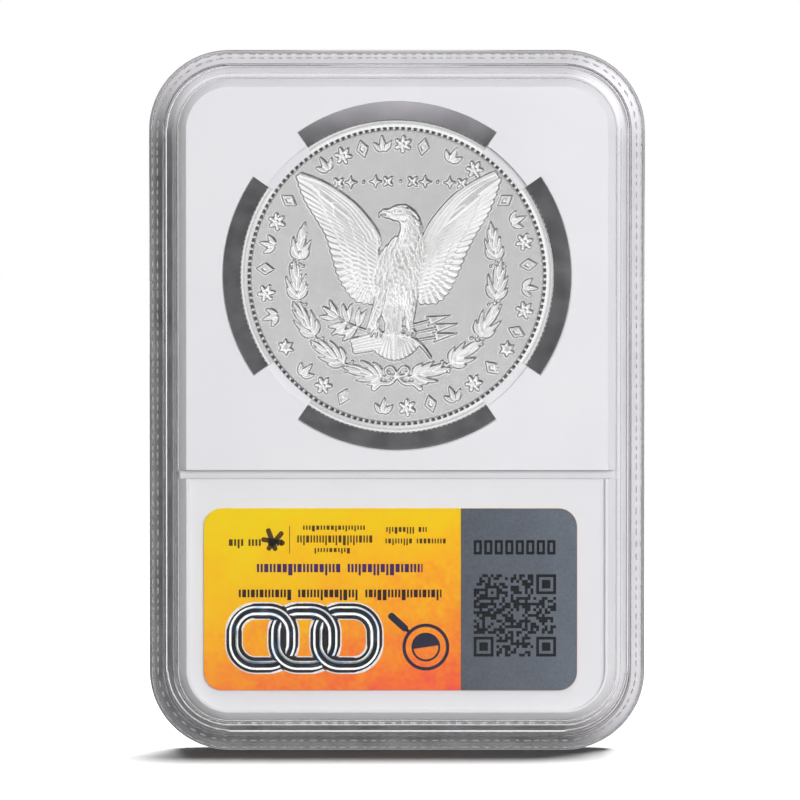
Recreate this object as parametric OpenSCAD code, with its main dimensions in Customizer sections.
// Graded coin slab: a sealed clear case. Two clear shells are welded round a
// white core, which grips a coin by its rim and backs a printed label on each side.
//
// The slab stands on its short edge. The origin is the middle of that edge, +Z
// runs up the slab and the rear face looks along -Y. Each piece is drawn lying
// flat on the slab's middle plane, with x across, y up the slab and z out through
// the rear face, and stand() turns it up.

/* [Slab] */
// Width of the slab
slab_w = 60; // [58:0.5:66]
// Height of the slab
slab_h = 84.8; // [82:0.2:92]
// Thickness over the stacking ridges
slab_t = 8; // [7.6:0.1:9]
// Radius of the outer corners
corner_r = 9.7; // [8:0.1:12]

/* [Shells] */
// Thickness of each clear window
window_t = 1.35; // [1:0.05:1.4]
// Height of the stacking ridges over the band beside them
ridge_h = 0.55; // [0.3:0.05:0.7]
// Radius of the rounded outer edges
edge_r = 0.8; // [0.4:0.1:0.8]
// Inset of the wall that closes the cavity
cavity_in = 3.4; // [3.3:0.1:3.5]
// Width of the weld tongue
tongue_w = 0.4; // [0.3:0.05:0.45]
// Height of the weld tongue
tongue_h = 0.5; // [0.3:0.1:0.8]

/* [Divider rib] */
// Middle of the rib, below the middle of the slab
rib_drop = 9.03; // [8.9:0.01:9.6]
// Width of the rib
rib_w = 0.94; // [0.7:0.02:1]

/* [Core] */
// Inset of the core from the slab's outline
core_in = 3.5; // [3.5:0.1:3.8]
// Chamfer round the core
core_chamfer = 0.95; // [0.4:0.05:1]
// Width of the raised rim round a label's pocket
pocket_rim = 0.3; // [0.2:0.05:0.5]
// Depth of a label's pocket
pocket_depth = 0.4; // [0.3:0.05:0.5]
// Radius of the round opening for the coin
opening_r = 21.2; // [20.5:0.1:22]
// Angle that each of the four prongs spans
prong_angle = 20.5; // [12:0.5:30]
// Width of coin rim that a prong covers
prong_grip = 0.9; // [0.5:0.1:1]

/* [Coin] */
// Diameter of the coin
coin_d = 38.1; // [37.5:0.1:38.4]
// Thickness of the coin at its rim
coin_t = 2.4; // [2:0.1:2.6]
// Height of the coin's middle over the middle of the slab
coin_rise = 15; // [14.5:0.1:15.5]
// Width of the coin's raised rim
rim_w = 0.95; // [0.7:0.05:1.3]
// Depth of the coin's field below its rim
field_depth = 0.22; // [0.1:0.02:0.4]

/* [Labels] */
// Width of a label
label_w = 45.3; // [40:0.1:48]
// Height of a label
label_h = 22.1; // [20:0.1:23]
// Corner radius of a label
label_r = 2.25; // [1:0.05:4]
// Thickness of a label
label_t = 0.22; // [0.15:0.01:0.25]
// Middle of the labels, below the middle of the slab
label_drop = 24.2; // [24:0.1:24.8]
// How far the rear label lies to the left of the middle
label_shift = 0.8; // [0:0.1:1.5]
// Thickness of the grey foil on the rear label
foil_t = 0.04; // [0.03:0.01:0.06]
// Thickness of the embossed emblem on the rear label
emblem_t = 0.16; // [0.05:0.01:0.17]
// Width of the grey foil panel
panel_w = 14.1; // [10:0.1:18]
// Outer width of one ring of the emblem
ring_w = 8.2; // [7:0.1:8.6]
// Outer height of one ring of the emblem
ring_h = 7.9; // [6.5:0.1:8.5]
// Width of the band of one ring of the emblem
ring_band = 1.35; // [1:0.05:1.6]
// Distance from one ring to the next
ring_pitch = 5.1; // [4.8:0.1:5.6]
// Radius of the corners of one ring of the emblem
ring_corner = 3.3; // [2:0.1:3.8]

/* [Hidden] */
$fn = 96;

half_t = slab_t / 2;
band_z = half_t - ridge_h;
window_step = 0.1;
window_out = band_z - window_step;
window_in = window_out - window_t;
parting_chamfer = 0.15;
ridge_slope = 0.3;
nest_gap = 0.07;

// The rear ridge runs just inside the edge and the front ridge just inside that,
// so that slabs in a stack nest
rear_ridge_end = 1.65;
rear_step_start = 2.9;
front_ridge_start = rear_ridge_end + nest_gap;
front_ridge_end = 2.7;

// The weld tongue of the front shell and its groove in the rear shell
tongue_in = 2.5;
weld_gap = 0.05;
groove_in = tongue_in - weld_gap;
groove_out = tongue_in + tongue_w + weld_gap;
groove_depth = tongue_h + 0.1;

// Levels of the core, measured from the middle plane
core_z = window_in - 0.05;
pocket_z = core_z - pocket_depth;
rib_tip_z = window_in - 0.8;
lip_z = core_z - 0.4;

// Coin seat
coin_r = coin_d / 2;
seat_r = coin_r + 0.03;
seat_t = coin_t + 0.04;
lip_step_r = coin_r + 0.15;

rib_clearance = 0.1;
foil_z = pocket_z + label_t;
emblem_x = -11.25;
emblem_drop = 28.9;

// Turns a piece from lying flat to standing on the short edge
module stand() {
    translate([0, 0, slab_h / 2]) rotate([90, 0, 0]) children();
}

// A flat rectangle with round corners
module rounded_rect(w, h, r) {
    square([w - 2 * r, h], center = true);
    square([w, h - 2 * r], center = true);
    for (x = [-1, 1], y = [-1, 1])
        translate([x * (w / 2 - r), y * (h / 2 - r)]) circle(r);
}

// Carries an outline of [inset, height] points round the slab's rounded rectangle
// and fills the middle from the height low to the height high. The outline
// reaches inward as far as the corners' own centres.
module perimeter_sweep(outline, low, high) {
    for (side = [0:3]) {
        reach = (side % 2 == 0 ? slab_w : slab_h) / 2;
        run = (side % 2 == 0 ? slab_h : slab_w) - 2 * corner_r;
        rotate(90 * side) {
            translate([reach, 0, 0])
                rotate([90, 0, 0])
                    linear_extrude(height = run, center = true)
                        polygon([for (p = outline) [-p[0], p[1]]]);
            translate([reach - corner_r, run / 2, 0])
                rotate_extrude(angle = 90)
                    polygon([for (p = outline) [corner_r - p[0], p[1]]]);
        }
    }
    translate([corner_r - slab_w / 2, corner_r - slab_h / 2, low])
        cube([slab_w - 2 * corner_r, slab_h - 2 * corner_r, high - low]);
}

// Points of an outer edge that is rounded up to the height top
function rounded_edge(r, top) =
    [for (a = [0:30:90]) [r - r * cos(a), top - r + r * sin(a)]];

// The parting face, side wall and rounded edge, common to both shells
function outer_wall(top) = concat(
    [[parting_chamfer, 0], [0, parting_chamfer]],
    rounded_edge(edge_r, top));

// The window and the cavity wall, common to both shells
function window_and_cavity() =
    [[corner_r, window_out], [corner_r, window_in],
     [cavity_in, window_in], [cavity_in, 0]];

rear_outline = concat(
    outer_wall(half_t),
    [[rear_ridge_end, half_t],
     [rear_ridge_end + ridge_slope, band_z],
     [rear_step_start, band_z],
     [rear_step_start + ridge_slope, window_out]],
    window_and_cavity(),
    [[groove_out, 0], [groove_out, groove_depth],
     [groove_in, groove_depth], [groove_in, 0]]);

front_outline = concat(
    outer_wall(band_z),
    [[front_ridge_start, band_z],
     [front_ridge_start + ridge_slope, half_t],
     [front_ridge_end, half_t],
     [front_ridge_end + ridge_slope, window_out]],
    window_and_cavity(),
    [[tongue_in + tongue_w, 0], [tongue_in + tongue_w, -tongue_h],
     [tongue_in, -tongue_h], [tongue_in, 0]]);

core_outline =
    [[core_in, core_chamfer - core_z], [core_in + core_chamfer, -core_z],
     [corner_r, -core_z], [corner_r, core_z],
     [core_in + core_chamfer, core_z], [core_in, core_z - core_chamfer]];

pocket_in = core_in + core_chamfer + pocket_rim;
pocket_outline =
    [[pocket_in, pocket_z], [corner_r, pocket_z], [corner_r, slab_t], [pocket_in, slab_t]];

// The rib under each window, which parts the coin from the label
module divider_rib() {
    translate([cavity_in - slab_w / 2, -rib_drop - rib_w / 2, rib_tip_z])
        cube([slab_w - 2 * cavity_in, rib_w, window_in - rib_tip_z]);
}

module rear_shell() {
    color([0.86, 0.87, 0.89, 0.35]) stand() {
        perimeter_sweep(rear_outline, window_in, window_out);
        divider_rib();
    }
}

module front_shell() {
    color([0.80, 0.81, 0.84, 0.35]) stand() mirror([0, 0, 1]) {
        perimeter_sweep(front_outline, window_in, window_out);
        divider_rib();
    }
}

// Four arcs of open space, with a prong left between each two
module coin_opening() {
    half_arc = (90 - prong_angle) / 2;
    far = opening_r + 1;
    cylinder(r = coin_r - prong_grip, h = slab_t, center = true);
    for (turn = [0:90:270])
        rotate(turn) intersection() {
            cylinder(r = opening_r, h = slab_t, center = true);
            linear_extrude(height = slab_t, center = true)
                polygon([[0, 0], [far, -far * tan(half_arc)], [far, far * tan(half_arc)]]);
        }
}

// What is cut from one face of the core: the rib's groove, the label's pocket and
// the step that thins the prongs' lips
module core_face_cuts() {
    groove_w = rib_w + 2 * rib_clearance;
    pocket_top = -rib_drop - rib_w / 2 - rib_clearance;
    translate([-slab_w / 2, pocket_top, rib_tip_z])
        cube([slab_w, groove_w, half_t]);
    intersection() {
        perimeter_sweep(pocket_outline, pocket_z, slab_t);
        translate([-slab_w / 2, -slab_h / 2, 0])
            cube([slab_w, slab_h / 2 + pocket_top, slab_t]);
    }
    translate([0, coin_rise, lip_z])
        cylinder(r = lip_step_r, h = half_t);
}

module core_insert() {
    color([0.93, 0.93, 0.95]) stand() difference() {
        perimeter_sweep(core_outline, -core_z, core_z);
        core_face_cuts();
        mirror([0, 0, 1]) core_face_cuts();
        translate([0, coin_rise, 0]) {
            coin_opening();
            cylinder(r = seat_r, h = seat_t, center = true);
        }
    }
}

module coin() {
    field_r = coin_r - rim_w;
    color([0.78, 0.79, 0.79]) stand() translate([0, coin_rise, 0]) difference() {
        cylinder(r = coin_r, h = coin_t, center = true);
        for (face = [0, 1])
            mirror([0, 0, face]) translate([0, 0, coin_t / 2 - field_depth])
                cylinder(r = field_r, h = coin_t);
    }
}

module label_blank(shift) {
    translate([shift, -label_drop, pocket_z])
        linear_extrude(height = label_t) rounded_rect(label_w, label_h, label_r);
}

module front_label() {
    color([0.90, 0.89, 0.85]) stand() mirror([0, 0, 1]) label_blank(0);
}

module rear_label() {
    color([0.97, 0.72, 0.08]) stand() label_blank(-label_shift);
}

// The grey foil that covers the right end of the rear label
module panel_foil() {
    color([0.39, 0.43, 0.48]) stand() translate([-label_shift, -label_drop, foil_z])
        linear_extrude(height = foil_t) intersection() {
            rounded_rect(label_w, label_h, label_r);
            translate([label_w / 2 - panel_w, -label_h / 2]) square([panel_w, label_h]);
        }
}

// Three rounded links of a chain in a row, stamped from bright foil
module emblem_foil() {
    color([0.85, 0.86, 0.88]) stand() translate([emblem_x, -emblem_drop, foil_z])
        linear_extrude(height = emblem_t)
            for (i = [-1:1])
                translate([i * ring_pitch, 0]) difference() {
                    rounded_rect(ring_w, ring_h, ring_corner);
                    rounded_rect(ring_w - 2 * ring_band, ring_h - 2 * ring_band,
                                 ring_corner - ring_band);
                }
}

front_shell();
rear_shell();
core_insert();
coin();
front_label();
rear_label();
panel_foil();
emblem_foil();
